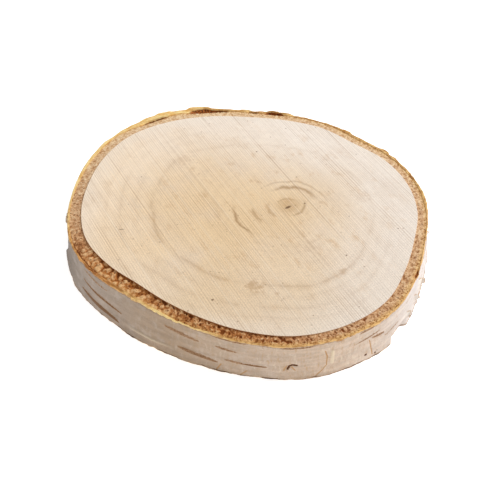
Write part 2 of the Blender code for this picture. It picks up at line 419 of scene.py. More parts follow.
def inner_bark_piece(material):
    """A closed ring between wood and cork with grainy sawn faces."""
    angle = np.arange(INNER_COLUMNS)[None, :] * (360.0 / INNER_COLUMNS)
    top = np.linspace(0.0, 1.0, INNER_ROWS_ON_TOP)[:, None]
    below = np.linspace(1.0, 0.0, INNER_ROWS_BELOW)[:, None]
    inside = wood_radius(angle) - WOOD_OVERLAP
    outside = rim_radius(angle) - cork_width(angle)
    coarseness = around(COARSENESS, angle)
    toasted = around(TOASTED, angle)

    def face(outer, share, seed):
        radius = inside + (outer + CORK_OVERLAP - inside) * share
        return radius, crumbs(*flat_place(angle, radius), coarseness, seed)

    top_radius, top_crumbs = face(outside, top, 31)
    below_radius, below_crumbs = face(foot_of_cork(angle), below, 41)
    depth = 0.07 + 0.12 * coarseness + 0.05 * toasted
    cleft = cleft_depth(angle, (1.0 - top) * (outside - inside))
    crevice_and_shade = around(CREVICES, angle) * pits(angle, top_radius, 36)
    crevice_and_shade = crevice_and_shade * ease(top, 0.03, 0.15) * (1.0 - 0.85 * ease(top, 0.5, 0.85))
    sunk = bark_sink(angle, top) * ease(top, 0.04, 0.13) + cleft + PIT_DEPTH * crevice_and_shade
    top_height = THICKNESS - sunk + depth * (top_crumbs - 0.8)
    # Painted shadow: a dark seam along the wood, where the wood's edge shades the sunken bark, strongest
    # where the tissue is toasted
    seam_shadow = SEAM_SHADOW * swell(top - 0.07, 0.07) * toasted**2
    seam_shadow = seam_shadow * (0.6 + 0.8 * rough_noise(angle * 0.5, 0.5, 0.5, 38))
    crevice_and_shade = np.maximum(crevice_and_shade, seam_shadow)
    # Painted shade: in toasted parts the crumb number, which sets the colour, drops beside the wood
    # after the heights are set
    top_crumbs = top_crumbs - 0.7 * swell(top, 0.12) * toasted
    below_height = 1.5 * UNDERSIDE_CLEARANCE + 0.1 * (1.0 - below_crumbs)
    radius = np.concatenate((top_radius, below_radius))
    blank = 0.0 * below_radius
    numbers = {
        "crumb": np.concatenate((top_crumbs, below_crumbs)),
        "toasted": np.tile(toasted, (len(radius), 1)),
        "crevice_and_shade": np.concatenate((crevice_and_shade, blank)),
        "golden": np.concatenate((around(GILDING, angle) * ease(top, 0.45, 0.95), blank)),
        "cleft": np.concatenate((np.minimum(cleft, 1.0), blank)),
    }
    height = np.concatenate((np.minimum(top_height, THICKNESS - TISSUE_CLEARANCE), below_height))
    places = points(angle, radius, height).reshape(-1, 3)
    faces = ring_faces(len(radius), INNER_COLUMNS)
    return new_piece("inner_bark", places, faces, numbers, material)


# Paper bark

PAPER_COLUMNS = 1296
LIP_ROWS = 9
WALL_ROWS = 54
FOOT_ROWS = 4
# The cork stays this far below the wood's upper face
LIP_CLEARANCE = 0.03
# Every 30 degrees from +X: how far the rim waves in and out, how brown the cork is, how warm the
# paper is, its painted light and shade (darkest on the left), how scratched it is, and how far
# the golden cork shows down the wall
RIM_WAVES = (0.15, 0.25, 0.3, 0.3, 0.12, 0.08, 0.1, 0.35, 0.35, 0.2, 0.2, 0.2)
CORK_TOASTED = (0.4, 0.4, 0.45, 0.35, 0.0, 0.0, 0.2, 0.95, 0.05, 0.45, 0.5, 0.5)
WALL_WARMTH = (0.1, 0.3, 0.3, 0.3, 0.2, 0.3, 0.6, 0.5, 0.85, 0.72, 0.62, 0.0)
WALL_PAINTED_SHADING = (0.97, 0.97, 0.95, 0.95, 0.9, 0.72, 0.32, 0.63, 0.68, 0.83, 0.97, 1.01)
SCRATCHES = (0.2, 0.3, 0.3, 0.3, 0.3, 0.2, 0.12, 0.12, 0.2, 0.5, 0.7, 0.15)
GOLDEN_EDGE = (0.15, 0.15, 0.2, 0.3, 0.3, 0.3, 0.15, 0.35, 0.3, 0.14, 0.14, 0.12)
# Golden drips below the edge: angle, half angle, reach
DRIPS = ((296.0, 2.2, 0.7), (279.0, 3.0, 0.3), (308.0, 4.0, 0.4))
# Where the foot flares: angle, half angle, how far
FLARE = (230.0, 14.0, 0.8)
# Lumps of cork that lift the rim: angle, half angle, reach
RIM_LUMPS = (
    (107, 6, 0.9), (119, 4, 0.3), (91, 3, 0.3), (78, 7, 0.7), (51, 3, 0.4), (34, 3, 0.6),
    (134, 12, -0.55), (42, 26, 0.45), (12, 18, 0.45),
)
# A piece that broke off the foot: angle, half angle, depth, height
BITE = (319.5, 5.0, 1.5, 5.0)

# Lenticels, the corky slits: start angle and height, end angle and height, breadth, darkness
LENTICELS = (
    (205.5, 12.4, 217.5, 11.2, 0.75, 0.55),
    (205, 8.5, 224, 5.9, 1.0, 0.8),
    (204, 4.2, 223, 2.0, 1.6, 0.9),
    (242, 10.7, 255, 9.6, 1.3, 0.6),
    (247, 4.9, 261, 3.7, 1.5, 0.65),
    (259, 13.7, 270, 13.6, 0.6, 0.7),
    (260, 10.1, 267, 9.6, 0.9, 0.65),
    (263, 5.6, 269, 5.4, 1.0, 0.55),
    (268, 5.4, 276, 5.3, 0.6, 0.95),
    (274.2, 14.2, 274.6, 12.6, 0.9, 0.3),
    (279.5, 13.5, 289, 13.7, 0.55, 0.75),
    (300.5, 9.3, 309.5, 10.5, 0.6, 0.75),
    (306.5, 8.9, 311.3, 8.1, 1.1, 0.65),
    (311.5, 6.3, 318.2, 7.7, 0.5, 0.65),
    (301.5, 13.4, 307, 13.8, 1.0, 0.6),
    (321, 11.4, 325, 11.4, 0.7, 0.3),
)
LENTICEL_SOFTNESS = 0.22
HIDDEN_LENTICELS = 34
HIDDEN_ARC = (-32.0, 175.0)
# Tears of the outermost paper, with golden edges: points of angle and height
TEARS = (
    ((291.8, 10.6), (292.6, 8.0), (292.5, 4.6), (291.0, 2.4), (289.3, 0.6)),
    ((305.8, 8.3), (306.6, 5.0), (307.4, 1.6)),
    ((262, 3.2), (260.5, 0.6)),
    ((270, 2.6), (268, 0.5)),
    ((282.5, 5.8), (283.6, 4.2)),
    ((281.2, 6.3), (280.4, 4.0)),
)
TEAR_BREADTH = 0.32
# A pale weal beside the longest tear
WEAL = ((293.9, 10.0), (294.1, 5.2))
WEAL_BREADTH = 1.0
# The knot's dark brow, and small black spots: angle, height, radius
KNOT = ((281.5, 4.8), (281.9, 6.2), (282.8, 6.7), (284.0, 6.3))
KNOT_BREADTH = 0.65
SPOTS = ((305, 2.7, 0.45), (308.4, 1.5, 0.35), (309.2, 2.0, 0.2))
# How soft the edges of tears, weal, knot and spots are
MARK_SOFTNESS = 0.12
# A pale ridge low on the wall: angle, half angle, height, half height
RIDGE = (236.0, 13.0, 3.2, 0.6)
# How far the golden cork and each marking stand out of the wall
GOLDEN_RELIEF = 0.1
RELIEFS = {"lenticel": 0.16, "tear": -0.14, "weal": 0.28, "ridge": 0.22, "spot": -0.12}


def all_lenticels():
    """The lenticels seen in front and those drawn for the hidden side."""
    draw = random.Random(11)
    found = list(LENTICELS)
    step = (HIDDEN_ARC[1] - HIDDEN_ARC[0]) / HIDDEN_LENTICELS
    for index in range(HIDDEN_LENTICELS):
        start = HIDDEN_ARC[0] + (index + draw.uniform(0.1, 0.9)) * step
        height = 1.8 + (index * 4.7) % 11.8 + draw.uniform(-0.5, 0.5)
        length = draw.uniform(3.0, 13.0)
        rise = draw.uniform(-0.04, 0.04) * length
        breadth = draw.uniform(0.6, 1.4)
        found.append((start, height, start + length, height + rise, breadth, draw.uniform(0.4, 0.9)))
    return found


def stroke(angle, height, start, end, breadth, pointed=True):
    """1 along a line on the wall between two points, 0 outside its breadth."""
    middle = (start[0] + end[0]) / 2
    scale = DEGREE * float(rim_radius(middle))
    along = turn_between(angle, middle) * scale
    half = np.array(((end[0] - start[0]) * scale / 2, (end[1] - start[1]) / 2))
    length = float(np.hypot(*half))
    direction = half / length
    up = height - (start[1] + end[1]) / 2
    run = along * direction[0] + up * direction[1]
    off = up * direction[0] - along * direction[1]
    if pointed:
        lens = np.maximum(1.0 - (run / length) ** 2, 0.0) ** 0.4
        inwards = lens * breadth / 2 - np.abs(off)
        return ease(inwards, -LENTICEL_SOFTNESS, LENTICEL_SOFTNESS) * (lens > 0)
    past = np.maximum(np.abs(run) - length, 0.0)
    return ease(breadth / 2 - np.hypot(past, off), -MARK_SOFTNESS, MARK_SOFTNESS)


def line_mark(angle, height, line, breadth):
    """1 along a bent line on the wall."""
    found = 0.0
    for start, end in zip(line, line[1:]):
        found = np.maximum(found, stroke(angle, height, start, end, breadth, pointed=False))
    return found


def wall_radius(angle, height):
    """Radius of the bark's outside without its markings."""
    share = height / THICKNESS
    x, y = rim_place(angle)
    lean = around(WALL_LEANS, angle) * (1.0 - share)
    waves = 0.3 * smooth_noise(x / 14, y / 14, height / 9, 51) * np.sin(np.pi * np.clip(share, 0, 1))
    wrinkles = 0.07 * rough_noise(x / 3.5, y / 3.5, height / 1.6, 52)
    middle, half, middle_height, half_height, depth = LEDGE
    ledge = depth * about(angle, middle, half) * swell(height - middle_height, half_height)
    ledge = ledge * ease(turn_between(angle, LEDGE_START) - height, -0.5, 0.5)
    middle, half, reach = FLARE
    flare = reach * about(angle, middle, half) * (1.0 - share) ** 2
    middle, half, depth, top = BITE
    bite = depth * ease(half - np.abs(turn_between(angle, middle)), 0.0, 3.0)
    bite = bite * ease(height, top, 0.4 * top)
    return rim_radius(angle) + lean + waves + wrinkles + ledge + flare - bite


def wall_marks(angle, height):
    """The wall's markings, each 1 where it is strongest."""
    lenticel = 0.0 * angle * height
    for start, start_height, end, end_height, breadth, dark in all_lenticels():
        mark = stroke(angle, height, (start, start_height), (end, end_height), breadth)
        lenticel = np.maximum(lenticel, dark * mark)
    tear = 0.0 * lenticel
    for line in TEARS:
        tear = np.maximum(tear, line_mark(angle, height, line, TEAR_BREADTH))
    spot = line_mark(angle, height, KNOT, KNOT_BREADTH)
    for middle, at, radius in SPOTS:
        sideways = turn_between(angle, middle) * DEGREE * rim_radius(middle)
        inwards = radius - np.hypot(sideways, height - at)
        spot = np.maximum(spot, ease(inwards, -MARK_SOFTNESS, MARK_SOFTNESS))
    weal = line_mark(angle, height, WEAL, WEAL_BREADTH)
    x, y = rim_place(angle)
    middle, half, ridge_height, half_height = RIDGE
    crest = ridge_height + 0.4 * smooth_noise(x / 5, y / 5, 0.5, 68)
    ridge = swell(height - crest, half_height) * about(angle, middle, half)
    return {"lenticel": lenticel, "tear": tear, "spot": spot, "weal": weal, "ridge": ridge}


def paper_bark_piece(material):
    """A closed ring: the cork's sawn lip, the wall, the foot and a hidden inner side."""
    angle = np.arange(PAPER_COLUMNS)[None, :] * (360.0 / PAPER_COLUMNS)
    x, y = rim_place(angle)
    waves = around(RIM_WAVES, angle)
    rim_wave = smooth_noise(x / 2.4, y / 2.4, 0.5, 61) + 0.6 * smooth_noise(x / 0.8, y / 0.8, 0.5, 62)
    rim_wave = waves * rim_wave
    rim_rise = 0.3 * waves * smooth_noise(x / 1.4, y / 1.4, 0.5, 63)
    for middle, half, reach in RIM_LUMPS:
        lump = reach * ease(about(angle, middle, half), 0.1, 0.7)
        rim_wave = rim_wave + lump
        rim_rise = rim_rise + 0.4 * lump
    rags = 0.5 * rough_noise(x / 3.0, y / 3.0, 0.5, 64) - 0.05
    foot_rise = 0.1 + 0.5 * np.abs(rough_noise(x / 4.0, y / 4.0, 0.5, 65))

    lip = np.linspace(0.0, 1.0, LIP_ROWS)[:, None]
    cork = cork_width(angle)
    inside = rim_radius(angle) - cork
    lip_radius = inside + (cork + rim_wave - 0.12) * lip
    lip_x, lip_y = flat_place(angle, lip_radius)
    layers = 0.7 * smooth_noise((1.0 - lip) * cork / 0.3, x / 3, y / 3, 66)
    layers = layers + 0.6 * rough_noise(lip_x / 0.5, lip_y / 0.5, 0.5, 67)
    cleft = cleft_depth(angle, lip * cork)
    sunk = bark_sink(angle, 1.0 - cork / around(BARK_WIDTHS, angle) * (1.0 - lip)) + cleft
    lip_height = THICKNESS + 0.1 - sunk + 0.08 * layers + rim_rise * lip
    lip_height = np.minimum(lip_height, THICKNESS - LIP_CLEARANCE)
    edge_height = lip_height[-1:] - 0.12

    height = foot_rise + (edge_height - foot_rise) * np.linspace(1.0, 0.0, WALL_ROWS)[:, None]
    below_edge = edge_height - height
    marks = wall_marks(angle, height)
    golden_reach = around(GOLDEN_EDGE, angle)
    for middle, half, reach in DRIPS:
        golden_reach = golden_reach + reach * about(angle, middle, half)
    golden_reach = golden_reach * (1.0 + 0.9 * rough_noise(x / 1.1, y / 1.1, 0.5, 69))
    golden = ease(golden_reach - below_edge, -0.12, 0.12)
    wall = wall_radius(angle, height)
    wall = wall + rim_wave * swell(below_edge, 1.6) - rags * swell(height - foot_rise, 1.3)
    wall = wall + GOLDEN_RELIEF * golden
    for name, relief in RELIEFS.items():
        wall = wall + relief * marks[name]
    marks["shade"] = swell(below_edge - golden_reach - 0.2, 0.3)

    foot = np.linspace(1.0, 0.0, FOOT_ROWS)[:, None]
    foot_radius = foot_of_cork(angle) + (wall[-1:] - 0.15 - foot_of_cork(angle)) * foot
    parts = (lip_radius, wall, foot_radius)

    def rows(*values):
        """One vertex number from its values on lip, wall and foot."""
        return np.concatenate([np.broadcast_to(value, part.shape) for value, part in zip(values, parts)])

    numbers = {name: rows(0.0, mark, 0.0) for name, mark in marks.items()}
    numbers["cork"] = rows(1.0, golden, 1.0)
    numbers["layer"] = rows(layers, 0.3 + 0.6 * rough_noise(x / 0.7, y / 0.7, height / 0.2, 70), 0.0)
    numbers["foot"] = rows(0.0, 1.0 - ease(height - foot_rise, 0.0, 1.6), 1.0)
    numbers["hollow"] = rows(np.minimum(cleft, 1.0), 0.0, 0.0)
    listed = {
        "toasted": CORK_TOASTED,
        "warm": WALL_WARMTH,
        "painted_shading": WALL_PAINTED_SHADING,
        "scratched": SCRATCHES,
    }
    for name, values in listed.items():
        numbers[name] = rows(*[around(values, angle)] * 3)
    heights = rows(lip_height, height, foot_rise + 0.06 - 0.08 * foot)
    places = points(angle, np.concatenate(parts), heights).reshape(-1, 3)
    faces = ring_faces(len(heights), PAPER_COLUMNS)
    return new_piece("paper_bark", places, faces, numbers, material)


# Peels

# Torn flakes of paper: angle and height of the root, length along the wall, breadth, lift, side,
# and how brown they are, a painted shade for flakes whose side lies in shade
SEEN_PEELS = (
    (337.5, 4.6, 3.0, 2.2, 1.2, 1, 0.3),
    (327.0, 6.2, 5.2, 4.2, 1.3, 1, 0.0),
    (331.5, 8.5, 5.5, 4.2, 0.8, 1, 0.0),
    (334.0, 4.2, 4.0, 3.6, 0.7, 1, 0.0),
    (322.5, 4.6, 3.4, 2.6, 0.8, 1, 0.3),
    (327.5, 5.4, 3.8, 2.4, 0.7, 1, 0.0),
    (185.5, 13.2, 5.5, 2.2, 0.7, -1, 1.0),
    (353.0, 10.6, 3.4, 2.4, 0.6, 1, 0.0),
)
HIDDEN_PEELS = 22
HIDDEN_PEEL_START = 2.0
HIDDEN_PEEL_ARC = 172.0
PEEL_STEPS = (26, 14)
PEEL_THICKNESS = 0.12
# How much longer one of a flake's corners is than the other, as a share of its length
PEEL_SLANT = 0.35
# The wall under a flake is read no nearer than this to either face
PEEL_MARGIN = 0.3


def all_peels():
    """The flakes seen in front and those drawn for the hidden side."""
    draw = random.Random(23)
    found = list(SEEN_PEELS)
    for index in range(HIDDEN_PEELS):
        step = (index + draw.uniform(0.1, 0.9)) * (HIDDEN_PEEL_ARC / HIDDEN_PEELS)
        height = 2.2 + (index * 3.9) % 10.8
        side = draw.choice((-1, 1))
        length = draw.uniform(2.5, 7.5)
        tall = draw.uniform(1.6, 4.6)
        lift = draw.uniform(0.4, 1.3)
        found.append((HIDDEN_PEEL_START + step, height, length, tall, lift, side, 0.0))
    return found


def peels_piece(material):
    """Thin curled flakes, each a closed sheet rooted in the wall."""
    count = PEEL_STEPS[0] * PEEL_STEPS[1]
    sheet = sheet_faces(*PEEL_STEPS)
    along = np.linspace(0.0, 1.0, PEEL_STEPS[0])[:, None]
    up = np.linspace(-0.5, 0.5, PEEL_STEPS[1])[None, :]
    tip = np.maximum(ease(along, 0.75, 1.0), ease(2.0 * np.abs(up), 0.75, 1.0) * ease(along, 0.1, 0.4))
    places = []
    faces = []
    torn_and_shaded = []
    for number, (angle, height, length, tall, lift, side, brown) in enumerate(all_peels()):
        ragged = 1.0 - 0.22 * (1 + rough_noise(up * 5.0, 0.5 + number, 0.5, 71)) * along
        lean = PEEL_SLANT * (up + 0.5)
        slant = lean if number % 2 else PEEL_SLANT - lean
        reach = along * length * ragged * (1.0 - slant * along)
        rise = tall * up * (1.0 - 0.35 * along**2) + 0.15 * tall * along * np.sin(number * 2.3)
        at = height + rise
        turned = angle + side * np.degrees(reach / rim_radius(angle))
        curl = lift * along**1.8 - 0.15 * (1 - along) * (1 - along)
        curl = curl + 0.12 * along * rough_noise(along * 3, up * 3, number + 0.5, 72)
        wall = wall_radius(turned, np.clip(at, PEEL_MARGIN, THICKNESS - PEEL_MARGIN))
        faces.append((sheet if side > 0 else sheet[:, ::-1]) + len(places) * count)
        for depth in (0.0, PEEL_THICKNESS):
            places.append(points(turned, wall + curl - depth, at).reshape(-1, 3))
            # Torn tips, and the browned flakes, whose brown is painted shade
            torn_and_shaded.append(np.maximum(tip, brown).ravel())
    inside = np.tile(np.repeat((0.0, 1.0), count), len(faces))
    numbers = {"inside": inside, "torn_and_shaded": np.concatenate(torn_and_shaded)}
    places = np.concatenate(places)
    return new_piece("bark_peels", places, np.concatenate(faces), numbers, material)


# Materials

WHITE = (1.0, 1.0, 1.0, 1.0)
# Darker arcs of the growth rings round the pith: radius, breadth, middle angle, half angle, strength
RING_ARCS = (
    (3.5, 0.9, 100.0, 50.0, 0.3),
    (5.0, 1.2, -25.0, 50.0, 0.35),
    (9.0, 1.6, 72.0, 48.0, 0.42),
    (11.9, 1.0, 70.0, 60.0, 0.22),
    (6.4, 1.1, 208.0, 24.0, 0.3),
    (11.2, 1.3, 204.0, 18.0, 0.34),
    (17.1, 1.2, 206.0, 22.0, 0.46),
)
# Growth rings that follow the wood's outline: share of the way out from the pith, strength
GROWTH_RINGS = ((0.35, 0.1), (0.5, 0.08), (0.66, 0.32), (0.74, 0.12), (0.82, 0.18), (0.9, 0.06))
# Short dark ticks, the pith first: middle, direction in degrees, half length and breadth, strength
TICKS = ((12.5, 1.75, 35.0, 1.15, 0.5, 0.85), (-37.8, -8.45, 3.0, 0.9, 0.2, 0.6))
# Small dark specks on the upper face: x, y, radius
SPECKS = (
    (-9.6, -37.8, 0.5),
    (-16.2, -42.0, 0.3),
    (17.7, 3.6, 0.38),
    (28.9, -19.8, 0.35),
    (3.0, 30.0, 0.35),
    (45.3, -8.0, 0.3),
    (31.0, -2.4, 0.25),
)
# Soft stains on the upper face: x, y, radius, strength
STAINS = (
    (2.2, -32.8, 3.0, 0.45),
    (8.2, -35.4, 1.2, 0.35),
    (27.7, -26.4, 1.3, 0.35),
    (18.7, -16.2, 4.5, 0.16),
    (35.6, 6.8, 3.6, 0.14),
    (-21.0, 25.5, 4.0, 0.18),
)
# How far apart neighbouring saw lines lie in their noise, so that they differ
LINE_STEP = 7.31
KERF_WIDTH = 0.33
# A mark this tall goes through the whole slice
ANY_HEIGHT = 1000.0


def rgb(red, green, blue):
    """A linear colour from one given on a screen's 0 to 255 scale."""
    shares = (value / 255.0 for value in (red, green, blue))
    linear = (s / 12.92 if s <= 0.04045 else ((s + 0.055) / 1.055) ** 2.4 for s in shares)
    return (*linear, 1.0)


class Shader:
    """A material's nodes, made by calls that give sockets."""

    def __init__(self, name):
        self.material = bpy.data.materials.new(name)
        self.material.use_nodes = True
        self.tree = self.material.node_tree
        self.surface = self.tree.nodes["Principled BSDF"]

    def node(self, kind, inputs, **settings):
        made = self.tree.nodes.new(kind)
        for key, value in settings.items():
            setattr(made, key, value)
        for key, value in inputs.items():
            if isinstance(value, bpy.types.NodeSocket):
                self.tree.links.new(value, made.inputs[key])
            else:
                made.inputs[key].default_value = value
        return made

    def number(self, name):
        """A vertex number of the mesh."""
        return self.node("ShaderNodeAttribute", {}, attribute_name=name).outputs["Fac"]

    def vector(self, operation, inputs, output="Vector"):
        """A vector operation's output, which is Vector or Value."""
        return self.node("ShaderNodeVectorMath", inputs, operation=operation).outputs[output]

    @cached_property
    def place(self):
        """The point's place in millimetres."""
        where = self.node("ShaderNodeTexCoord", {}).outputs["Object"]
        return self.vector("SCALE", {0: where, 3: 1 / MM})

    def dot(self, direction):
        return self.vector("DOT_PRODUCT", {0: self.place, 1: direction}, "Value")

    def sized(self, width, height=None):
        """The place divided by a width along X and Y, and by a height or the same along Z."""
        scale = (1 / width, 1 / width, 1 / (height or width))
        return self.vector("MULTIPLY", {0: self.place, 1: scale})

    def joined(self, x, y, z=0.0):
        return self.node("ShaderNodeCombineXYZ", {0: x, 1: y, 2: z}).outputs[0]

    def maths(self, operation, first, second=0.0, third=0.0):
        inputs = {0: first, 1: second, 2: third}
        return self.node("ShaderNodeMath", inputs, operation=operation).outputs[0]

    def plus(self, first, second):
        return self.maths("ADD", first, second)

    def minus(self, first, second):
        return self.maths("SUBTRACT", first, second)

    def times(self, first, second):
        return self.maths("MULTIPLY", first, second)

    def larger(self, first, second):
        return self.maths("MAXIMUM", first, second)

    def gap(self, first, second):
        """How far apart two numbers are."""
        return self.maths("ABSOLUTE", self.minus(first, second))

    def noise(self, place, detail=2.0, roughness=0.5):
        """Noise from about 0.25 to 0.75 with features one unit apart."""
        inputs = {"Vector": place, "Scale": 1.0, "Detail": detail, "Roughness": roughness}
        return self.node("ShaderNodeTexNoise", inputs).outputs["Fac"]

    def between(self, value, low, high, to_low=0.0, to_high=1.0):
        """Smoothly maps low..high to to_low..to_high and holds the ends."""
        inputs = {0: value, 1: low, 2: high, 3: to_low, 4: to_high}
        return self.node("ShaderNodeMapRange", inputs, interpolation_type="SMOOTHSTEP").outputs[0]

    def mix(self, share, first, second):
        inputs = {0: share, 6: first, 7: second}
        return self.node("ShaderNodeMix", inputs, data_type="RGBA").outputs[2]

    def blend(self, first, second, value, low, high, most=1.0):
        """The first colour where value is at low, and the given share of the second at high."""
        return self.mix(self.between(value, low, high, 0.0, most), first, second)

    def shaded(self, colour, darkening, strength=1.0):
        """The colour made darker where darkening is 1 and lighter where it is -1."""
        share = self.maths("MULTIPLY_ADD", darkening, -strength, 1.0)
        return self.vector("SCALE", {0: colour, 3: share})

    def rust(self, fine):
        """The rusty brown of clefts."""
        return self.blend(rgb(96, 48, 14), rgb(184, 108, 46), fine, 0.4, 0.6)

    def finish(self, colour, roughness, height=None, depth=0.1, shine=0.3):
        """Sets colour, roughness, shine and bump, whose height is in units of depth millimetres."""
        self.tree.links.new(colour, self.surface.inputs["Base Color"])
        self.surface.inputs["Roughness"].default_value = roughness
        self.surface.inputs["Specular IOR Level"].default_value = shine
        if height is not None:
            inputs = {"Strength": 1.0, "Distance": depth * MM, "Height": height}
            bump = self.node("ShaderNodeBump", inputs)
            self.tree.links.new(bump.outputs[0], self.surface.inputs["Normal"])
        return self.material


def ring_tints(made, ring, colour):
    """The colour with the growth rings, the arcs round the pith and the darker heart."""
    wobble = made.noise(made.sized(16.0))
    wave = made.plus(ring, made.between(wobble, 0.3, 0.7, -0.01, 0.01))
    years = made.noise(made.joined(made.times(wave, 30.0), 0.5), 1.0)
    rings = made.between(years, 0.45, 0.75, 0.0, 0.1)
    for middle, strength in GROWTH_RINGS:
        away = made.gap(wave, middle)
        halo = made.between(away, 0.0, 0.045, 0.6 * strength, 0.0)
        core = made.between(away, 0.0, 0.013, 0.5 * strength, 0.0)
        rings = made.larger(rings, made.plus(halo, core))
    broken = made.noise(made.sized(6.0))
    rings = made.times(rings, made.between(broken, 0.35, 0.6, 0.3, 1.0))
    backward = made.dot((0.5, 1.0, 0.0))
    rings = made.times(rings, made.between(backward, -20.0, 22.0, 1.0, 0.38))

    pith = (PITH[0] - MIDDLE[0], PITH[1] - MIDDLE[1], 0.0)
    offset = made.vector("SUBTRACT", {0: made.place, 1: pith})
    parts = made.node("ShaderNodeSeparateXYZ", {0: offset})
    east, north = parts.outputs[:2]
    away = made.vector("LENGTH", {0: made.joined(east, north)}, "Value")
    shift = made.between(made.noise(made.sized(4.0)), 0.3, 0.7, -0.4, 0.4)
    away = made.plus(away, shift)
    turn = made.maths("ARCTAN2", north, east)
    for radius, breadth, middle, half, strength in RING_ARCS:
        off = made.gap(away, radius)
        halo = made.between(off, 0.0, breadth, 0.5, 0.0)
        core = made.between(off, 0.1, 0.5 * breadth, 0.5, 0.0)
        bend = made.times(made.minus(turn, math.radians(middle)), 0.5)
        bend = made.maths("ABSOLUTE", made.maths("SINE", bend))
        reach = math.sin(math.radians(half) / 2) * 1.3
        within = made.between(bend, 0.4 * reach, reach, 1.6 * strength, 0.0)
        rings = made.larger(rings, made.times(made.plus(halo, core), within))
    colour = made.mix(rings, colour, rgb(168, 130, 88))
    return made.mix(made.between(away, 1.5, 5.5, 0.5, 0.0), colour, rgb(200, 164, 118))


def saw_tints(made, ring, colour):
    """The colour with blotches, the saw's lines and pores, and the fuzz between the lines."""
    across = made.dot((*ACROSS_SAW, 0.0))
    along = made.dot((*ALONG_SAW, 0.0))

    def streaks(per_across, per_along, detail):
        """Noise drawn out along the saw's marks, minus its middle value."""
        where = made.joined(made.times(across, per_across), made.times(along, per_along))
        return made.minus(made.noise(where, detail, 0.7), 0.5)

    def line_noise(line, run, seed):
        """Noise that differs from line to line and drifts slowly along each."""
        where = made.joined(made.times(line, LINE_STEP), made.times(along, 1.0 / run), seed)
        return made.noise(where, 1.0)

    def grooves(pitch, width, run, seed, least):
        """Thin lines a pitch apart, each with its own strength that drifts along it."""
        drift = made.times(made.noise(made.joined(made.times(across, 0.16), seed)), 3.0)
        tooth = made.plus(made.times(across, 1.0 / pitch), drift)
        away = made.gap(made.maths("FRACT", tooth), 0.5)
        strength = line_noise(made.maths("FLOOR", tooth), run, seed)
        half = width / 2 / pitch
        core = made.between(away, 1.4 * half, 0.6 * half)
        return made.times(core, made.between(strength, 0.35, 0.65, least))

    blotch = made.between(streaks(0.25, 0.14, 4.0), 0.03, 0.2)
    blotch = made.times(blotch, made.between(ring, 0.4, 0.95, 0.5, 0.12))
    colour = made.mix(blotch, colour, rgb(210, 172, 126))
    fade = made.between(streaks(0.05, 0.04, 2.0), -0.15, 0.15, 0.5, 1.2)
    regular = made.times(grooves(0.7, 0.23, 40.0, 5.5, 0.4), fade)
    wide = made.times(grooves(0.98, 0.32, 50.0, 0.5, 0.3), fade)
    lone = grooves(3.1, 0.24, 60.0, 2.5, -0.6)
    light = grooves(2.3, 0.3, 60.0, 8.5, -0.6)
    fuzz = streaks(3.2, 2.4, 2.0)
    mottle = made.noise(made.sized(1.6), 3.0, 0.6)
    kerf = made.maths("FLOOR", made.times(across, 1.0 / KERF_WIDTH))
    colour = made.shaded(colour, made.minus(line_noise(kerf, 25.0, 3.5), 0.5), -0.16)
    # Painted shade of the saw's relief: a little darker in its troughs and a little lighter on its
    # crests
    colour = made.shaded(colour, made.number("saw"), -0.01)
    colour = made.shaded(colour, made.between(mottle, 0.35, 0.65, -1.0, 1.0), 0.017)
    forward = made.between(made.dot((0.0, -1.0, 0.0)), -30.0, 30.0, -0.45, -0.8)
    colour = made.shaded(colour, made.times(fuzz, forward))
    colour = made.blend(colour, rgb(252, 244, 232), light, 0.0, 1.0, 0.14)
    colour = made.blend(colour, rgb(170, 132, 94), lone, 0.0, 1.0, 0.26)
    colour = made.mix(made.times(wide, 0.13), colour, rgb(170, 132, 94))
    colour = made.mix(made.times(regular, 0.31), colour, rgb(170, 128, 88))
    pores = made.node("ShaderNodeTexVoronoi", {"Vector": made.sized(2.6), "Scale": 1.0})
    chance = made.node("ShaderNodeSeparateXYZ", {0: pores.outputs["Color"]}).outputs[0]
    pore = made.times(made.between(pores.outputs["Distance"], 0.07, 0.12, 0.5, 0.0), chance)
    return made.mix(pore, colour, rgb(132, 88, 48)), fuzz


def spot_tints(made, colour):
    """The colour with the soft stains, small specks and dark ticks."""

    def away_from(x, y):
        """Distance from a point of the upper face."""
        centre = (x - MIDDLE[0], y - MIDDLE[1], THICKNESS)
        return made.vector("DISTANCE", {0: made.place, 1: centre}, "Value")

    ragged = made.between(made.noise(made.sized(1.4), 3.0), 0.3, 0.7, -0.5, 0.5)
    for x, y, radius, strength in STAINS:
        reach = made.maths("MULTIPLY_ADD", ragged, radius, away_from(x, y))
        stain = made.between(reach, 0.2 * radius, radius, strength, 0.0)
        colour = made.mix(stain, colour, rgb(184, 144, 100))
    for x, y, radius in SPECKS:
        speck = made.between(away_from(x, y), radius * 0.4, radius, 0.8, 0.0)
        colour = made.mix(speck, colour, rgb(106, 66, 34))
    for x, y, turn, length, breadth, strength in TICKS:
        inputs = {
            0: made.place,
            1: (x - MIDDLE[0], y - MIDDLE[1], 0.0),
            2: (0.0, 0.0, math.radians(turn)),
            3: (length, breadth, ANY_HEIGHT),
        }
        tick = made.node("ShaderNodeMapping", inputs, vector_type="TEXTURE").outputs[0]
        tick = made.vector("LENGTH", {0: tick}, "Value")
        colour = made.mix(made.between(tick, 0.5, 1.3, strength, 0.0), colour, rgb(100, 66, 36))
    return colour


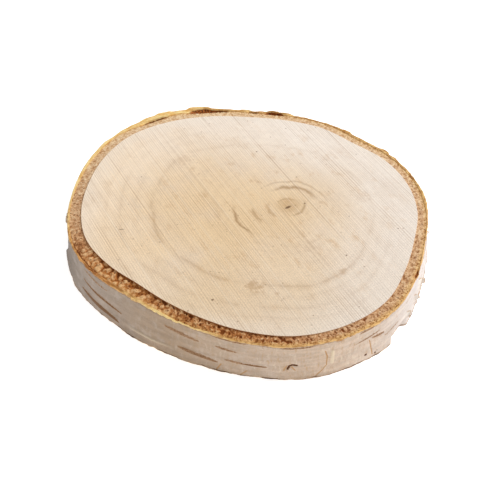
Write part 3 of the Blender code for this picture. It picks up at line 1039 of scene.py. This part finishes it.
def sawn_wood_material():
    """Pale wood: warmer at the heart, faint rings, straight saw marks and small specks."""
    made = Shader("sawn_birch")
    ring = made.number("ring")
    eastward = made.dot((1.0, 0.0, 0.0))
    northward = made.dot((0.0, 1.0, 0.0))

    patch = made.noise(made.sized(22.0), 3.0)
    paleness = made.plus(ring, made.dot((0.0055, 0.0057, 0.0)))
    paleness = made.plus(paleness, made.between(patch, 0.3, 0.7, -0.1, 0.1))
    kept = made.larger(made.between(northward, -34.0, -14.0), made.between(eastward, 14.0, 30.0))
    pale = made.times(made.between(eastward, -14.0, 26.0, 0.0, 0.24), kept)
    paleness = made.plus(paleness, pale)
    colour = made.blend(rgb(236, 206, 163), rgb(249, 237, 224), paleness, 0.0, 1.54)
    # Painted light and shade: the face is made lighter towards the left and back and darker towards the
    # right and front
    colour = made.shaded(colour, made.dot((0.0008, -0.0007, 0.0)))
    colour = made.shaded(colour, made.between(eastward, -45.0, -12.0, -0.05, 0.0))
    colour = made.shaded(colour, made.between(northward, -48.0, -15.0, 0.04, 0.0))
    pink = made.noise(made.sized(13.0), 3.0)
    colour = made.blend(colour, rgb(230, 211, 192), pink, 0.5, 0.75, 0.3)
    colour = made.blend(colour, rgb(240, 227, 211), ring, 0.88, 0.99, 0.3)

    colour = ring_tints(made, ring, colour)
    colour, fuzz = saw_tints(made, ring, colour)
    colour = spot_tints(made, colour)
    height = made.dot((0.0, 0.0, 1.0))
    side = made.between(height, THICKNESS - 0.03, THICKNESS - 0.1)
    side = made.times(side, made.between(height, 0.03, 0.1))
    colour = made.mix(side, colour, rgb(206, 160, 112))
    return made.finish(colour, 0.62, fuzz, 0.03)


def inner_bark_material():
    """Crumbly tissue: tan at the back, toasted brown with cream grains in front."""
    made = Shader("inner_bark")
    toasted = made.number("toasted")
    mottle = made.noise(made.sized(1.1), 4.0, 0.6)
    fine = made.noise(made.sized(0.35), 3.0, 0.6)
    height = made.plus(made.number("crumb"), made.between(mottle, 0.3, 0.7, -0.35, 0.35))
    height = made.plus(height, made.between(fine, 0.3, 0.7, -0.3, 0.3))

    tan = made.blend(rgb(206, 158, 112), rgb(244, 218, 180), height, -0.9, 0.8)
    brown = made.blend(rgb(96, 46, 14), rgb(180, 110, 52), height, -0.9, 0.0)
    brown = made.blend(brown, rgb(230, 184, 132), height, 0.0, 1.0)
    colour = made.mix(toasted, tan, brown)
    gilt = made.blend(rgb(196, 142, 78), rgb(236, 196, 130), height, -0.6, 0.4)
    colour = made.mix(made.number("golden"), colour, gilt)
    # Dark brown in the pits and along the wood: partly the tissue's own brown, partly painted shade and
    # the painted shadow of the wood's edge
    colour = made.blend(colour, rgb(116, 56, 14), made.number("crevice_and_shade"), 0.05, 0.6, 0.95)
    # Painted shade in the lowest hollows between the crumbs
    deep_shade = made.times(made.between(height, -0.35, -1.0), made.between(toasted, 0.0, 0.6, 0.25, 0.8))
    colour = made.mix(deep_shade, colour, rgb(112, 56, 18))
    grit = made.between(made.noise(made.sized(0.6), 1.0), 0.42, 0.32)
    grit = made.times(grit, made.between(toasted, 0.0, 0.3, 0.15, 0.8))
    colour = made.mix(grit, colour, rgb(124, 72, 32))
    colour = made.blend(colour, made.rust(fine), made.number("cleft"), 0.3, 0.6)
    return made.finish(colour, 0.85, fine, 0.08, 0.1)


def paper_bark_material():
    """White paper bark with a golden cork lip, brown lenticels, tears and a dark foot."""
    made = Shader("paper_bark")
    toasted = made.number("toasted")
    long = made.noise(made.sized(9.0, 1.6), 4.0)
    streak = made.noise(made.sized(4.0, 0.35), 4.0, 0.6)
    fine = made.noise(made.sized(0.6, 0.3), 3.0, 0.6)
    colour = made.mix(made.number("warm"), rgb(214, 204, 198), rgb(214, 182, 149))
    # Painted light and shade: the paper's colour is scaled round the wall, darkest on the left
    colour = made.vector("SCALE", {0: colour, 3: made.number("painted_shading")})
    colour = made.shaded(colour, made.between(long, 0.35, 0.65, -0.5, 0.5), 0.16)
    cloud = made.noise(made.sized(4.0, 3.0), 4.0, 0.6)
    colour = made.blend(colour, rgb(224, 212, 202), cloud, 0.5, 0.68, 0.2)
    colour = made.blend(colour, rgb(176, 150, 130), streak, 0.45, 0.3, 0.3)
    colour = made.shaded(colour, made.minus(fine, 0.5), 0.4)
    scratch = made.noise(made.sized(0.9, 3.0), 5.0, 0.7)
    strength = made.number("scratched")
    tan = made.times(made.between(scratch, 0.52, 0.68, 0.0, 0.8), strength)
    colour = made.mix(tan, colour, rgb(190, 148, 98))
    white = made.times(made.between(scratch, 0.46, 0.34, 0.0, 0.7), strength)
    colour = made.mix(white, colour, rgb(236, 222, 200))

    pale = made.larger(made.number("weal"), made.number("ridge"))
    colour = made.mix(made.times(pale, 0.7), colour, rgb(232, 214, 184))
    frayed = made.plus(made.number("lenticel"), made.between(fine, 0.3, 0.7, -0.2, 0.2))
    corky = made.blend(rgb(178, 138, 102), rgb(128, 92, 60), frayed, 0.3, 0.9)
    colour = made.blend(colour, corky, frayed, 0.15, 0.6)
    colour = made.blend(colour, rgb(190, 140, 84), made.number("tear"), 0.1, 0.8, 0.9)
    colour = made.blend(colour, rgb(92, 52, 18), made.number("spot"), 0.1, 0.8)
    shade = made.times(made.number("shade"), made.between(fine, 0.35, 0.6, 0.25, 0.85))
    colour = made.mix(shade, colour, rgb(132, 90, 50))

    ragged = made.plus(made.number("foot"), made.between(streak, 0.3, 0.7, -0.3, 0.3))
    colour = made.blend(colour, rgb(186, 156, 122), ragged, 0.3, 0.9, 0.5)
    # Painted shade: a dark line along the ragged foot, partly its torn edge and partly shade under the
    # slice
    torn_and_shaded = made.times(made.between(ragged, 0.8, 1.1), made.between(long, 0.38, 0.5))
    colour = made.mix(torn_and_shaded, colour, rgb(88, 62, 40))

    layer = made.number("layer")
    golden = made.blend(rgb(232, 178, 98), rgb(255, 226, 158), layer, -0.6, 0.5)
    brown = made.blend(rgb(142, 76, 28), rgb(218, 152, 84), layer, -0.5, 0.5)
    cork = made.mix(toasted, golden, brown)
    patch = made.between(made.noise(made.sized(1.6), 3.0), 0.55, 0.4)
    patch = made.times(patch, made.between(toasted, 0.0, 0.5, 0.1, 0.7))
    cork = made.mix(patch, cork, rgb(172, 116, 66))
    cork = made.blend(cork, made.rust(fine), made.number("hollow"), 0.3, 0.6)
    colour = made.blend(colour, cork, made.number("cork"), 0.35, 0.75)
    return made.finish(colour, 0.6, streak, 0.12, 0.15)


def peels_material():
    """Paper flakes, white outside and golden tan on the side that faced the wood."""
    made = Shader("bark_peels")
    streak = made.noise(made.sized(4.0, 0.35), 4.0, 0.6)
    outer = made.blend(rgb(214, 200, 190), rgb(238, 228, 216), streak, 0.35, 0.65)
    inner = made.blend(rgb(206, 162, 112), rgb(230, 198, 150), streak, 0.35, 0.65)
    colour = made.mix(made.number("inside"), outer, inner)
    # Torn tips are tan brown; on the browned flakes the same brown is painted shade
    colour = made.blend(colour, rgb(190, 150, 96), made.number("torn_and_shaded"), 0.3, 1.0, 0.75)
    return made.finish(colour, 0.55)


# Floor, light and camera

FLOOR_SIDE = 6.0
FLOOR_GREY = (0.8, 0.8, 0.8, 1.0)
# How brightly the floor itself and the surroundings shine
FLOOR_GLOW = 0.74
WORLD_STRENGTH = 0.42
# The key light behind on the right: place and side in metres, power in watts
KEY_PLACE = Vector((1.1, 0.5, 1.2))
KEY_SIDE = 1.0
KEY_POWER = 24.8
CAMERA_TARGET = (0.7, -10.5, 7.5)
CAMERA_DISTANCE = 289.0
CAMERA_ELEVATION = 43.0
# The photograph's focal length, in pixels of its 500 pixel side
FOCAL_PIXELS = 949.0
PHOTO_SIDE = 500.0
SENSOR_WIDTH = 36.0


def set_stage():
    """A plain pale floor that takes only a faint shadow."""
    bpy.ops.mesh.primitive_plane_add(size=FLOOR_SIDE, location=(0.0, 0.0, 0.0))
    floor = bpy.context.object
    floor.name = "floor"
    made = Shader("pale_floor")
    settings = {
        "Base Color": FLOOR_GREY,
        "Roughness": 0.9,
        "Specular IOR Level": 0.0,
        "Emission Color": WHITE,
        "Emission Strength": FLOOR_GLOW,
    }
    for name, value in settings.items():
        made.surface.inputs[name].default_value = value
    floor.data.materials.append(made.material)


def set_light():
    """An even white surrounding and one large light."""
    scene = bpy.context.scene
    scene.view_settings.view_transform = "Standard"
    world = bpy.data.worlds.new("studio")
    world.use_nodes = True
    world.node_tree.nodes["Background"].inputs["Color"].default_value = WHITE
    world.node_tree.nodes["Background"].inputs["Strength"].default_value = WORLD_STRENGTH
    scene.world = world
    light = bpy.data.lights.new("key", "AREA")
    light.size = KEY_SIDE
    light.energy = KEY_POWER
    lamp = bpy.data.objects.new("key", light)
    lamp.location = KEY_PLACE
    lamp.rotation_euler = (-KEY_PLACE).to_track_quat("-Z", "Y").to_euler()
    scene.collection.objects.link(lamp)


def set_camera():
    """The photograph's view, from the front and above."""
    scene = bpy.context.scene
    data = bpy.data.cameras.new("camera")
    data.sensor_width = SENSOR_WIDTH
    data.lens = FOCAL_PIXELS / PHOTO_SIDE * SENSOR_WIDTH
    data.clip_start = 0.01
    camera = bpy.data.objects.new("camera", data)
    rise = math.radians(CAMERA_ELEVATION)
    back = Vector((0.0, -math.cos(rise), math.sin(rise)))
    camera.location = (Vector(CAMERA_TARGET) + back * CAMERA_DISTANCE) * MM
    camera.rotation_euler = (-back).to_track_quat("-Z", "Y").to_euler()
    scene.collection.objects.link(camera)
    scene.camera = camera


set_camera()
wood = wood_piece(sawn_wood_material())
bark = inner_bark_piece(inner_bark_material())
paper = paper_bark_piece(paper_bark_material())
peels = peels_piece(peels_material())
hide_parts("birch_slice")
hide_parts("birch_slice")
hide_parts("birch_slice")
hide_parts("birch_slice")
set_stage()
set_light()
